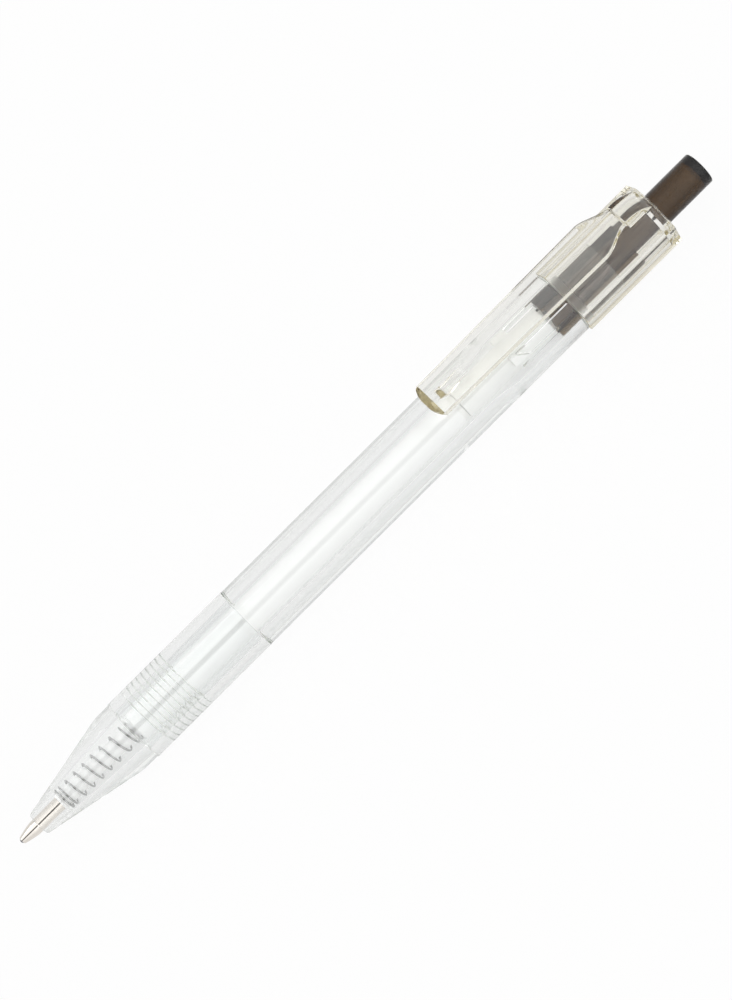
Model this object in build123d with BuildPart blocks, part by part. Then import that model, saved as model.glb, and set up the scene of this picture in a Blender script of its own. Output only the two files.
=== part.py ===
from build123d import *
import os
from math import cos, pi, radians, sin, sqrt

# A retractable ballpoint pen, lying on a table with its clip upwards.
# Sizes are in millimetres. Stations run along the pen, from the writing point towards the button.

# Travel of the writing mechanism, from the writing position
retract_travel = 5.2
press_travel = 0.9
cam_turn = 60.0

# Writing point
ball_diameter = 1.0
ball_clearance = 0.02
lip_setback = 0.32
lip_diameter = 1.2
tip_cone_length = 2.6
tip_cone_bulge = 0.06
tip_diameter = 2.3
tip_length = 8.7
tail_diameter = 1.5
tail_length = 3.4
ink_duct_diameter = 0.7
tip_reach = 3.8

# Refill
refill_neck_diameter = 2.7
refill_neck_length = 15.8
refill_diameter = 5.0
refill_wall = 0.7
refill_shoulder_edge = 0.25
plug_shank_length = 5.0
plug_flange_diameter = 4.4
plug_flange_length = 0.9
plug_vent_diameter = 0.8
ink_headspace = 7.68
ink_clearance = 0.02

# Return spring
spring_wire = 0.3
spring_diameter = 4.0
spring_open_turns = 7
spring_end_turns = 1.5
spring_end_pitch = 0.74
spring_seat_gap = 0.02

# Nose section
nose_face_diameter = 3.92
nose_face_edge = 0.45
nose_cone_length = 17.1
nose_collar_step = 0.12
nose_collar_length = 2.85
nose_cone_blend = 9.0
sleeve_diameter = 10.9
sleeve_length = 23.95
sleeve_edge = 0.12
guide_clearance = 0.08
spring_seat_depth = 5.35
spring_room_front_diameter = 4.4
spring_room_rear_diameter = 5.9

# Screw joint between the nose section and the barrel
spigot_diameter = 7.68
spigot_length = 23.7
spigot_clearance = 0.05
spigot_end_gap = 0.15
thread_pitch = 1.0
thread_turns = 9
thread_depth = 0.34
thread_crest_width = 0.22
thread_root_width = 0.62
thread_runout = 0.7
thread_clearance = 0.06

# Barrel
barrel_diameter = 10.8
barrel_length = 67.15
bore_diameter = 6.0
barrel_edge = 0.12
chamber_diameter = 7.5
chamber_length = 13.25
stop_rib_count = 3
stop_rib_angle = 135.0
stop_rib_width = 1.3
stop_rib_inner_diameter = 5.9
stop_rib_top_setback = 0.25
plug_neck_wall = 0.55
plug_neck_length = 8.15

# Cap with clip
cap_across_flats = 10.9
cap_side_count = 8
cap_corner_radius = 0.5
cap_length = 19.1
cap_end_wall = 1.0
cap_cavity_chamfer = 0.7
cap_neck_clearance = 0.05
clip_gap = 1.35
clip_thickness = 1.1
clip_reach = 25.2
clip_root_width = 7.3
clip_free_width = 6.6
clip_neck_width = 3.9
clip_shoulder_start = 8.2
clip_shoulder_length = 5.4
clip_end_sagitta = 0.7
clip_end_edge = 0.95
clip_root_length = 4.5
clip_root_setback = 0.5
clip_root_embed = 0.4
clip_nub_length = 6.0
clip_nub_width = 1.8
clip_nub_clearance = 0.25
clip_nub_setback = 1.4
clip_nub_ramp = 1.9

# Push button
button_diameter = 5.6
button_reach = 9.6
button_end_wall = 1.3
button_wall = 1.0
button_edge = 0.25
button_hole_clearance = 0.08
button_overlap = 3.85
button_wing_diameter = 7.2
button_wing_width = 1.6

# Cam rotor
rotor_stem_diameter = 5.0
rotor_stem_length = 9.85
rotor_crown_diameter = 4.8
rotor_pilot_diameter = 3.2
rotor_pilot_length = 5.5
rotor_contact_gap = 0.05
fin_diameter = 7.2
fin_width = 1.2
fin_side_height = 0.9
fin_rest_gap = 0.3
travel_end_gap = 0.2
crown_tooth_count = 6
crown_tooth_depth = 0.7
crown_tooth_share = 0.9
crown_gap = 0.3

# Stations along the pen
tail_end = tip_length + tail_length
refill_shoulder = tip_length + refill_neck_length
nose_front = tip_reach
nose_cone_end = nose_front + nose_cone_length
sleeve_start = nose_cone_end + nose_collar_length
barrel_start = sleeve_start + sleeve_length
cap_start = barrel_start + barrel_length
cap_end = cap_start + cap_length
button_end = cap_end + button_reach
spring_seat = nose_front + spring_seat_depth
guide_end = tip_length - press_travel - travel_end_gap
spigot_end = barrel_start - spigot_length
chamber_start = cap_start - chamber_length
button_start = cap_start - button_overlap
wing_end = cap_end - cap_end_wall - retract_travel - travel_end_gap
fin_start = chamber_start + press_travel + travel_end_gap
rotor_start = fin_start - rotor_stem_length
crown_end = button_start - crown_gap
plug_end = rotor_start - rotor_contact_gap
refill_end = plug_end - plug_flange_length

# Diameters and radii that neighbouring pieces share
nose_collar_diameter = sleeve_diameter - 2 * nose_collar_step
plug_neck_diameter = chamber_diameter + 2 * plug_neck_wall
refill_bore_radius = refill_diameter / 2 - refill_wall
guide_radius = tip_diameter / 2 + guide_clearance
neck_room_radius = refill_neck_diameter / 2 + guide_clearance
spigot_radius = spigot_diameter / 2
thread_root_radius = spigot_radius - thread_depth
sleeve_bore_radius = spigot_radius + spigot_clearance
nut_bore_radius = thread_root_radius + thread_clearance
cap_cavity_radius = plug_neck_diameter / 2 + cap_neck_clearance
button_hole_radius = button_diameter / 2 + button_hole_clearance
button_bore_radius = button_diameter / 2 - button_wall
facet_radius = cap_across_flats / 2
clip_inner = facet_radius + clip_gap
clip_outer = clip_inner + clip_thickness

# The pen's middle is the origin along it, and its lowest faces lie at zero height
middle = button_end / 2
axis_height = max(sleeve_diameter, cap_across_flats) / 2
pen_plane = Plane(origin=(-middle, 0, axis_height), x_dir=(1, 0, 0), z_dir=(0, -1, 0))
pen_axis = Axis((-middle, 0, axis_height), (1, 0, 0))


def cross_plane(station):
    """Plane square to the pen at a station, with its X across the pen and its Y upwards."""
    return Plane(origin=(station - middle, 0, axis_height), x_dir=(0, 1, 0), z_dir=(1, 0, 0))


def plan_plane(height):
    """Level plane at a height over the pen's axis, with its X along the pen."""
    return Plane(origin=(-middle, 0, axis_height + height), x_dir=(1, 0, 0), z_dir=(0, 0, 1))


def side_plane(angle, radius):
    """Plane that faces outwards at an angle round the pen, at a radius from its axis."""
    outward = Vector(0, cos(radians(angle)), sin(radians(angle)))
    return Plane(origin=Vector(-middle, 0, axis_height) + outward * radius, x_dir=(1, 0, 0), z_dir=outward)


def around(count, first):
    """Evenly spaced angles round the pen."""
    return [first + 360 * index / count for index in range(count)]


def winding_point(station, radius, turn):
    """Point on a winding round the pen's axis, after a number of turns."""
    angle = 2 * pi * turn
    return Vector(station - middle, radius * cos(angle), axis_height + radius * sin(angle))


def winding_tangent(pitch, radius, turn):
    """Direction of a winding of a given pitch, after a number of turns."""
    angle = 2 * pi * turn
    return Vector(pitch, -2 * pi * radius * sin(angle), 2 * pi * radius * cos(angle)).normalized()


def biarc(start, start_tangent, end, end_tangent):
    """Two arcs that join two points and keep both directions."""
    chord = end - start
    pull = start_tangent + end_tangent
    square = pull.dot(pull) - 4
    linear = chord.dot(pull)
    reach = (linear - sqrt(linear**2 - square * chord.dot(chord))) / square
    first_corner = start + start_tangent * reach
    second_corner = end - end_tangent * reach
    joint = (first_corner + second_corner) / 2
    TangentArc(start, joint, tangent=start_tangent)
    TangentArc(joint, end, tangent=second_corner - first_corner)


# The ball that rolls the ink on
with BuildPart(cross_plane(ball_diameter / 2)) as tip_ball:
    Sphere(ball_diameter / 2)

# The turned metal tip: socket, cone, shank and the tail that is pressed into the refill
with BuildPart() as refill_tip:
    with BuildSketch(pen_plane):
        with BuildLine():
            lip = (lip_setback, lip_diameter / 2)
            cone_end = (lip_setback + tip_cone_length, tip_diameter / 2)
            cone_middle = ((lip[0] + cone_end[0]) / 2, (lip[1] + cone_end[1]) / 2 + tip_cone_bulge)
            Line((lip_setback, 0), lip)
            ThreePointArc(lip, cone_middle, cone_end)
            Polyline(
                cone_end,
                (tip_length, tip_diameter / 2),
                (tip_length, tail_diameter / 2),
                (tail_end, tail_diameter / 2),
                (tail_end, 0),
                (lip_setback, 0),
            )
        make_face()
    revolve(axis=pen_axis)
    with BuildSketch(cross_plane(ball_diameter / 2)):
        Circle(ink_duct_diameter / 2)
    extrude(amount=tail_end - ball_diameter / 2, mode=Mode.SUBTRACT)
    with Locations(cross_plane(ball_diameter / 2)):
        Sphere(ball_diameter / 2 + ball_clearance, mode=Mode.SUBTRACT)

# The white refill tube: a slim neck inside the spring, and a wide ink body
with BuildPart() as refill_tube:
    with BuildSketch(pen_plane):
        with BuildLine():
            Polyline(
                (tip_length, tail_diameter / 2),
                (tip_length, refill_neck_diameter / 2),
                (refill_shoulder, refill_neck_diameter / 2),
                (refill_shoulder, refill_diameter / 2 - refill_shoulder_edge),
                (refill_shoulder + refill_shoulder_edge, refill_diameter / 2),
                (refill_end, refill_diameter / 2),
                (refill_end, refill_bore_radius),
                (refill_shoulder + refill_wall, refill_bore_radius),
                (refill_shoulder + refill_wall, tail_diameter / 2),
                close=True,
            )
        make_face()
    revolve(axis=pen_axis)

# The ink, from the end of the tip's tail to its level in the body
with BuildPart() as ink_column:
    with BuildSketch(pen_plane):
        with BuildLine():
            ink_start = tail_end + ink_clearance
            ink_step = refill_shoulder + refill_wall + ink_clearance
            ink_end = refill_end - plug_shank_length - ink_headspace
            Polyline(
                (ink_start, 0),
                (ink_start, tail_diameter / 2 - ink_clearance),
                (ink_step, tail_diameter / 2 - ink_clearance),
                (ink_step, refill_bore_radius - ink_clearance),
                (ink_end, refill_bore_radius - ink_clearance),
                (ink_end, 0),
                close=True,
            )
        make_face()
    revolve(axis=pen_axis)

# The vented plug at the back of the refill
with BuildPart() as refill_plug:
    with BuildSketch(cross_plane(refill_end)):
        Circle(plug_flange_diameter / 2)
    extrude(amount=plug_flange_length)
    with BuildSketch(cross_plane(refill_end)):
        Circle(refill_bore_radius)
    extrude(amount=-plug_shank_length)
    with BuildSketch(cross_plane(plug_end)):
        Circle(plug_vent_diameter / 2)
    extrude(amount=-plug_shank_length - plug_flange_length, mode=Mode.SUBTRACT)

# The return spring, between its seat in the nose and the refill's shoulder
spring_radius = (spring_diameter - spring_wire) / 2
spring_start = spring_seat + spring_wire / 2 + spring_seat_gap
spring_stop = refill_shoulder - spring_wire / 2 - spring_seat_gap
spring_rise = spring_stop - spring_start
spring_end_rise = spring_end_turns * spring_end_pitch
spring_open_pitch = (spring_rise - 2 * spring_end_rise) / spring_open_turns
spring_turns = spring_open_turns + 2 * spring_end_turns


def spring_rise_at(turn):
    """How far along the pen the spring has risen after a number of turns, and its pitch there."""
    if turn < spring_end_turns:
        return turn * spring_end_pitch, spring_end_pitch
    if turn > spring_turns - spring_end_turns:
        return spring_rise - (spring_turns - turn) * spring_end_pitch, spring_end_pitch
    return spring_end_rise + (turn - spring_end_turns) * spring_open_pitch, spring_open_pitch


quarter_turns = [index / 4 for index in range(round(4 * spring_turns) + 1)]
spring_points = []
spring_tangents = []
for turn in quarter_turns:
    rise, pitch = spring_rise_at(turn)
    spring_points.append(winding_point(spring_start + rise, spring_radius, turn))
    spring_tangents.append(winding_tangent(pitch, spring_radius, turn))
with BuildPart() as spring:
    with BuildLine() as spring_path:
        Line(spring_points[0] - spring_tangents[0] * spring_wire, spring_points[0])
        for index in range(len(spring_points) - 1):
            biarc(
                spring_points[index],
                spring_tangents[index],
                spring_points[index + 1],
                spring_tangents[index + 1],
            )
        Line(spring_points[-1], spring_points[-1] + spring_tangents[-1] * spring_wire)
    with BuildSketch(Plane(spring_path.line @ 0, z_dir=spring_path.line % 0)):
        Circle(spring_wire / 2)
    sweep(path=spring_path.line)

# The least gap between neighbouring turns, measured on points of the wire's centre line
samples_per_turn = 48
spring_samples = []
for index in range(round(samples_per_turn * spring_turns) + 1):
    rise, pitch = spring_rise_at(index / samples_per_turn)
    spring_samples.append(winding_point(spring_start + rise, spring_radius, index / samples_per_turn))
turn_distances = []
for index, point in enumerate(spring_samples):
    for other in spring_samples[index + samples_per_turn // 2 :]:
        turn_distances.append((other - point).length)
print(f"spring: {spring_turns} turns, least gap {min(turn_distances) - spring_wire:.3f} mm")

# The thread that both halves of the screw joint are cut from
thread_start = spigot_end + thread_runout + thread_root_width
thread_end = thread_start + thread_turns * thread_pitch


def thread_ridge(radius, depth, growth):
    """Right-hand ridge that stands out of a cylinder of a radius, thickened by a growth each way."""
    foot = thread_root_width / 2 + growth
    crest = thread_crest_width / 2 + growth
    with BuildPart() as ridge:
        with BuildLine() as ridge_path:
            for quarter in range(4 * thread_turns):
                ends = []
                for turn in (quarter / 4, (quarter + 1) / 4):
                    ends.append(winding_point(thread_start + turn * thread_pitch, radius, turn))
                    ends.append(winding_tangent(thread_pitch, radius, turn))
                biarc(*ends)
        with BuildSketch(Plane(ridge_path.line @ 0, x_dir=(1, 0, 0), z_dir=ridge_path.line % 0)):
            with BuildLine():
                Polyline((-foot, -growth), (-crest, depth), (crest, depth), (foot, -growth), close=True)
            make_face()
        sweep(path=ridge_path.line, normal=(1, 0, 0))
    return ridge.part


thread_groove = thread_ridge(thread_root_radius, thread_depth, thread_clearance)
spigot_thread = thread_ridge(thread_root_radius, thread_depth - thread_clearance, 0)

# The clear nose section: guide, spring room and the sleeve that screws over the barrel
with BuildPart() as nose_section:
    with BuildSketch(pen_plane):
        with BuildLine():
            FilletPolyline(
                (nose_front, guide_radius),
                (nose_front, nose_face_diameter / 2),
                (nose_cone_end, nose_collar_diameter / 2),
                (sleeve_start, nose_collar_diameter / 2),
                radius=[nose_face_edge, nose_cone_blend],
            )
            Polyline(
                (sleeve_start, nose_collar_diameter / 2),
                (sleeve_start, sleeve_diameter / 2),
                (barrel_start - sleeve_edge, sleeve_diameter / 2),
                (barrel_start, sleeve_diameter / 2 - sleeve_edge),
                (barrel_start, sleeve_bore_radius),
                (thread_end + thread_runout, sleeve_bore_radius),
                (thread_end + thread_runout - thread_depth, nut_bore_radius),
                (spigot_end - spigot_end_gap, nut_bore_radius),
                (spigot_end - spigot_end_gap, spring_room_rear_diameter / 2),
                (spring_seat, spring_room_front_diameter / 2),
                (spring_seat, neck_room_radius),
                (guide_end, neck_room_radius),
                (guide_end, guide_radius),
                (nose_front, guide_radius),
            )
        make_face()
    revolve(axis=pen_axis)
    add(thread_groove, mode=Mode.SUBTRACT)

# The clear barrel: threaded spigot, bore, cam chamber with its stop ribs, and the neck for the cap
fin_slope = retract_travel / (radians(cam_turn) * (stop_rib_inner_diameter + fin_diameter) / 4)
fin_top = fin_start + fin_side_height
rib_low = fin_top + fin_rest_gap
rib_high = rib_low + fin_slope * stop_rib_width
rib_top = cap_start - stop_rib_top_setback
stop_rib_radii = (stop_rib_inner_diameter / 2, (chamber_diameter + barrel_diameter) / 4)
with BuildPart() as barrel:
    with BuildSketch(pen_plane):
        with BuildLine():
            Polyline(
                (spigot_end, bore_diameter / 2),
                (spigot_end, thread_root_radius),
                (thread_end + thread_runout, thread_root_radius),
                (thread_end + thread_runout + thread_depth, spigot_radius),
                (barrel_start, spigot_radius),
                (barrel_start, barrel_diameter / 2 - barrel_edge),
                (barrel_start + barrel_edge, barrel_diameter / 2),
                (cap_start - barrel_edge, barrel_diameter / 2),
                (cap_start, barrel_diameter / 2 - barrel_edge),
                (cap_start, plug_neck_diameter / 2),
                (cap_start + plug_neck_length, plug_neck_diameter / 2),
                (cap_start + plug_neck_length, chamber_diameter / 2),
                (chamber_start, chamber_diameter / 2),
                (chamber_start, bore_diameter / 2),
                close=True,
            )
        make_face()
    revolve(axis=pen_axis)
    add(spigot_thread)
    for angle in around(stop_rib_count, stop_rib_angle):
        with BuildSketch(side_plane(angle, stop_rib_radii[0])):
            with BuildLine():
                Polyline(
                    (rib_low, stop_rib_width / 2),
                    (rib_high, -stop_rib_width / 2),
                    (rib_top, -stop_rib_width / 2),
                    (rib_top, stop_rib_width / 2),
                    close=True,
                )
            make_face()
        extrude(amount=stop_rib_radii[1] - stop_rib_radii[0])

# The spring clip, cut to its side profile and then to its plan outline
clip_end = cap_start - clip_reach
clip_root_end = cap_end - clip_root_setback
clip_root_start = clip_root_end - clip_root_length
clip_shoulder = cap_start + clip_shoulder_start
clip_neck = clip_shoulder + clip_shoulder_length
clip_shoulder_middle = ((clip_shoulder + clip_neck) / 2, (clip_root_width + clip_neck_width) / 4)
with BuildPart() as clip:
    with BuildSketch(pen_plane):
        with BuildLine():
            Polyline(
                (clip_root_end, facet_radius - clip_root_embed),
                (clip_root_start, facet_radius - clip_root_embed),
                (clip_root_start, clip_inner),
                (clip_end - clip_end_sagitta, clip_inner),
                (clip_end - clip_end_sagitta, clip_outer),
                (clip_root_start, clip_outer),
            )
            TangentArc(
                (clip_root_start, clip_outer),
                (clip_root_end, facet_radius),
                tangent=(1, 0),
            )
            Line((clip_root_end, facet_radius), (clip_root_end, facet_radius - clip_root_embed))
        make_face()
    extrude(amount=clip_root_width / 2, both=True)
    with BuildSketch(plan_plane(facet_radius - clip_root_embed)):
        with BuildLine():
            Polyline(
                (clip_end, clip_free_width / 2),
                (clip_shoulder, clip_root_width / 2),
            )
            TangentArc((clip_shoulder, clip_root_width / 2), clip_shoulder_middle, tangent=(1, 0))
            TangentArc((clip_neck, clip_neck_width / 2), clip_shoulder_middle, tangent=(-1, 0))
            Polyline(
                (clip_neck, clip_neck_width / 2),
                (clip_root_end, clip_neck_width / 2),
                (clip_root_end, 0),
            )
            ThreePointArc(
                (clip_end, clip_free_width / 2),
                (clip_end - clip_end_sagitta, 0),
                (clip_end, -clip_free_width / 2),
            )
            mirror(about=Plane.XZ)
        make_face()
    extrude(amount=clip_outer, mode=Mode.INTERSECT)
    free_end_edges = clip.edges().group_by(Axis.X)[0]
    fillet(free_end_edges.sort_by(Axis.Z)[0], clip_end_edge)

# The clear cap: eight-sided, hollow, with a hole for the button and the clip grown out of its top
with BuildPart() as clip_cap:
    with BuildSketch(cross_plane(cap_start)) as cap_outline:
        RegularPolygon(
            facet_radius,
            cap_side_count,
            major_radius=False,
            rotation=180 / cap_side_count,
        )
        fillet(cap_outline.vertices(), cap_corner_radius)
    extrude(amount=cap_length)
    add(clip.part)
    with BuildSketch(pen_plane):
        with BuildLine():
            cavity_end = cap_end - cap_end_wall
            Polyline(
                (cap_start, 0),
                (cap_start, cap_cavity_radius),
                (cavity_end - cap_cavity_chamfer, cap_cavity_radius),
                (cavity_end, cap_cavity_radius - cap_cavity_chamfer),
                (cavity_end, button_hole_radius),
                (cap_end, button_hole_radius),
                (cap_end, 0),
                close=True,
            )
        make_face()
    revolve(axis=pen_axis, mode=Mode.SUBTRACT)
    nub_start = clip_end + clip_nub_setback
    with BuildSketch(pen_plane):
        with BuildLine():
            nub_low = barrel_diameter / 2 + clip_nub_clearance
            nub_crest = nub_start + clip_nub_ramp
            Polyline(
                (nub_start, clip_inner),
                (nub_crest, nub_low),
                (nub_start + clip_nub_length, clip_inner),
                (nub_start + clip_nub_length, clip_inner + clip_thickness / 2),
                (nub_start, clip_inner + clip_thickness / 2),
                close=True,
            )
        make_face()
    extrude(amount=clip_nub_width / 2, both=True)

# The smoked push button: a closed tube with guide wings and a toothed rim
with BuildPart() as push_button:
    with BuildSketch(pen_plane):
        with BuildLine():
            Polyline(
                (button_start, button_bore_radius),
                (button_start, button_diameter / 2),
                (button_end - button_edge, button_diameter / 2),
                (button_end, button_diameter / 2 - button_edge),
                (button_end, 0),
                (button_end - button_end_wall, 0),
                (button_end - button_end_wall, button_bore_radius),
                close=True,
            )
        make_face()
    revolve(axis=pen_axis)
    wing_foot = (button_bore_radius + button_diameter / 2) / 2
    wing_reach = sqrt((button_wing_diameter / 2) ** 2 - (button_wing_width / 2) ** 2)
    for angle in around(stop_rib_count, stop_rib_angle + 180 / stop_rib_count):
        with BuildSketch(side_plane(angle, wing_foot)):
            with BuildLine():
                Polyline(
                    (button_start, button_wing_width / 2),
                    (wing_end, button_wing_width / 2),
                    (wing_end, -button_wing_width / 2),
                    (button_start, -button_wing_width / 2),
                    close=True,
                )
            make_face()
        extrude(amount=wing_reach - wing_foot)
    tooth_half = button_diameter / 2 * sin(pi / crown_tooth_count) * crown_tooth_share
    for angle in around(crown_tooth_count, stop_rib_angle):
        with BuildSketch(side_plane(angle, 0)):
            with BuildLine():
                Polyline(
                    (button_start, tooth_half),
                    (button_start + crown_tooth_depth, tooth_half),
                    (button_start, -tooth_half),
                    close=True,
                )
            make_face()
        extrude(amount=button_diameter / 2, mode=Mode.SUBTRACT)

# The white cam rotor: pusher stem, slanted fins, plain crown and the pilot inside the button
with BuildPart() as cam_rotor:
    with BuildSketch(pen_plane):
        with BuildLine():
            Polyline(
                (rotor_start, 0),
                (rotor_start, rotor_stem_diameter / 2),
                (fin_start, rotor_stem_diameter / 2),
                (fin_start, rotor_crown_diameter / 2),
                (crown_end, rotor_crown_diameter / 2),
                (crown_end, rotor_pilot_diameter / 2),
                (crown_end + rotor_pilot_length, rotor_pilot_diameter / 2),
                (crown_end + rotor_pilot_length, 0),
                close=True,
            )
        make_face()
    revolve(axis=pen_axis)
    for angle in around(stop_rib_count, stop_rib_angle):
        with BuildSketch(side_plane(angle, 0)):
            with BuildLine():
                Polyline(
                    (fin_start, fin_width / 2),
                    (fin_top, fin_width / 2),
                    (fin_top + fin_slope * fin_width, -fin_width / 2),
                    (fin_start, -fin_width / 2),
                    close=True,
                )
            make_face()
        extrude(amount=fin_diameter / 2)

os.makedirs("parts", exist_ok=True)
for name, piece in (
    ("tip_ball", tip_ball),
    ("refill_tip", refill_tip),
    ("refill_tube", refill_tube),
    ("ink_column", ink_column),
    ("refill_plug", refill_plug),
    ("spring", spring),
    ("nose_section", nose_section),
    ("barrel", barrel),
    ("clip_cap", clip_cap),
    ("push_button", push_button),
    ("cam_rotor", cam_rotor),
):
    piece.part.label = name
    export_step(piece.part, f"parts/{name}.step")
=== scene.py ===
from functools import lru_cache
from math import atan2, ceil, cos, pi, radians, sin, sqrt, tan

import bmesh
import bpy
from bpy.props import FloatProperty, FloatVectorProperty, IntProperty, PointerProperty
from mathutils import Matrix, Vector


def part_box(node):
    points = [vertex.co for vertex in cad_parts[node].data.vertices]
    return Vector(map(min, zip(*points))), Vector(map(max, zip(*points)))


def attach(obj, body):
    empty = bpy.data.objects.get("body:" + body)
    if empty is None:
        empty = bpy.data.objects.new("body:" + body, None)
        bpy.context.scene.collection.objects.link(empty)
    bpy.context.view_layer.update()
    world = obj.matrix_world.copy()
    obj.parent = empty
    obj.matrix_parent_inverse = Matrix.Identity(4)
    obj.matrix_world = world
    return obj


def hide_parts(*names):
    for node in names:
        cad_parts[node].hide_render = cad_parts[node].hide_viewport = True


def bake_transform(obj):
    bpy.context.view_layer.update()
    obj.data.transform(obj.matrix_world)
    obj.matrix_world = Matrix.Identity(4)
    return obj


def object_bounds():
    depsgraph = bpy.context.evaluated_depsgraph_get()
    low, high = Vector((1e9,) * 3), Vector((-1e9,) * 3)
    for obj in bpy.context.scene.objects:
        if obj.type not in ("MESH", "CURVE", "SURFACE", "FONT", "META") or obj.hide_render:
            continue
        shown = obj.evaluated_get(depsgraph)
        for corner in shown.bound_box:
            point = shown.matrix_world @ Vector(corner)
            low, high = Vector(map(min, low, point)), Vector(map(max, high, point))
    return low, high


bl_info = {
    "name": "Clear click pen",
    "version": (1, 0, 0),
    "blender": (4, 5, 0),
    "location": "3D View > Sidebar > Pen",
    "description": "Builds the looks of a clear retractable ballpoint pen round its construction model",
    "category": "Object",
}

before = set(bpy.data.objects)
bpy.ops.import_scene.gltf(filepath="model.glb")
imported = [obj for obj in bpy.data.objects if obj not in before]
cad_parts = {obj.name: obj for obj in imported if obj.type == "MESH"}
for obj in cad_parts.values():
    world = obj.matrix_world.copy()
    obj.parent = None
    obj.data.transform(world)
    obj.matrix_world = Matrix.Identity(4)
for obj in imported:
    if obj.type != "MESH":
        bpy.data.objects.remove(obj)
CAD_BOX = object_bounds()
MM = 0.001
TURN = 2 * pi
PEN_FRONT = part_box("tip_ball")[0].x
AXIS_HEIGHT = sum(corner.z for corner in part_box("tip_ball")) / 2

# Fineness of the meshes and of the noise in the finishes
COLUMNS = 160
BALL_COLUMNS = 64
FLAT_COLUMNS = 12
CORNER_COLUMNS = 8
ARC_STEPS = 5
THREAD_ROWS = 28
CLIP_FREE_ROWS = (1.5 * MM, 3 * MM, 5 * MM)
CLIP_SHOULDER_ROWS = (4 * MM, 1 * MM, 0)
SHARP_ANGLE = radians(30)
NOISE_DETAIL = 2.0

# A row this far from a rounding keeps the flat beside it flat in its shading
HOLD = 0.02 * MM
# Hairline between clear pieces that meet
PART_GAP = 0.03 * MM
# Largest share of a side that one rounding takes
EDGE_SHARE = 0.45
NUB_EDGE = 0.3 * MM
NUB_LEAST_RISE = 0.1

# Plastics: refraction, body colour for each metre of depth, haze of worn surfaces
PLASTIC_IOR = 1.575
SMOKED_IOR = 1.47
WHITE_IOR = 1.5
CLEAR_DENSITY = 8
STRAW_DENSITY = 25
SMOKE_DENSITY = 2100
SPIGOT_HAZE = 0.12
NECK_HAZE = 0.3
NECK_WORN = 1.5 * MM

# Lamps: name, place, watts
LAMPS = (
    ("key", (-0.35, 0.35, 0.6), 0.8),
    ("fill", (0.4, -0.3, 0.55), 1.0),
)
LAMP_SIZE = 0.5
LIGHT_BOUNCES = 64
SENSOR_WIDTH = 36
PLAIN_WHITE = (1, 1, 1, 1)


@lru_cache
def reach(node):
    """First and last station of a construction piece, measured from the writing point."""
    low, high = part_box(node)
    return low.x - PEN_FRONT, high.x - PEN_FRONT


# Settings that a user would change

def length(label, text, millimetres):
    """Length setting, with its default in millimetres."""
    default = millimetres * MM
    return FloatProperty(name=label, description=text, default=default, precision=6, unit="LENGTH")


def amount(label, text, value):
    """Plain number setting."""
    return FloatProperty(name=label, description=text, default=value, precision=4)


def whole(label, text, value):
    """Whole number setting."""
    return IntProperty(name=label, description=text, default=value)


def angle(label, text, degrees):
    """Angle setting, with its default in degrees."""
    kind = {"subtype": "ANGLE", "unit": "ROTATION"}
    return FloatProperty(name=label, description=text, default=radians(degrees), **kind)


def colour(label, text, *value):
    """Colour setting."""
    kind = {"size": 3, "subtype": "COLOR", "min": 0, "max": 1}
    return FloatVectorProperty(name=label, description=text, default=value, **kind)


class ScrewSizes(bpy.types.PropertyGroup):
    """Screw joint between the nose and the barrel"""

    pitch: length("Pitch", "Rise of the thread in one turn", 1.0)
    turns: whole("Turns", "Turns of the thread", 9)
    spigot: length("Spigot diameter", "Plain part of the barrel's spigot", 7.68)
    step: length("Thread step", "Threaded part below the spigot's plain part", 0.06)
    depth: length("Depth", "Depth of the fine groove on the spigot", 0.1)
    width: length("Width", "Width of the fine groove on the spigot", 0.2)
    lead_in: length("Lead-in", "Plain length in front of the thread", 2.49)
    threaded: length("Threaded length", "Narrower part of the spigot", 11.1)
    play: length("Play", "Gap between the spigot and the sleeve", 0.05)
    fade: amount("Fade", "Part of a turn in which the thread rises", 0.2)


class NoseSizes(bpy.types.PropertyGroup):
    """Clear nose section"""

    face: length("Face diameter", "Front face round the writing tip", 3.92)
    face_edge: length("Face rounding", "Rounding of the front face", 0.45)
    cone: length("Cone length", "Length of the cone", 17.1)
    blend: length("Cone blend", "Rounding from the cone into the collar", 9.0)
    collar: length("Collar diameter", "Plain collar before the sleeve", 10.66)
    collar_length: length("Collar length", "Length of the collar", 2.85)
    sleeve: length("Sleeve diameter", "Sleeve that screws over the barrel", 10.9)
    edge: length("Edge", "Rounding of the sleeve's end", 0.1)
    guide: length("Guide diameter", "Hole that guides the tip", 2.46)
    guide_length: length("Guide length", "Length of that hole", 3.8)
    neck_room: length("Neck room", "Hole round the refill's neck", 2.86)
    seat_depth: length("Seat depth", "Spring seat behind the front face", 5.35)
    room_front: length("Spring room, front", "Diameter at the spring's seat", 4.4)
    room_rear: length("Spring room, rear", "Diameter at the barrel's spigot", 5.9)
    end_gap: length("End gap", "Gap between the spigot's end and the nose", 0.15)


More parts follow.
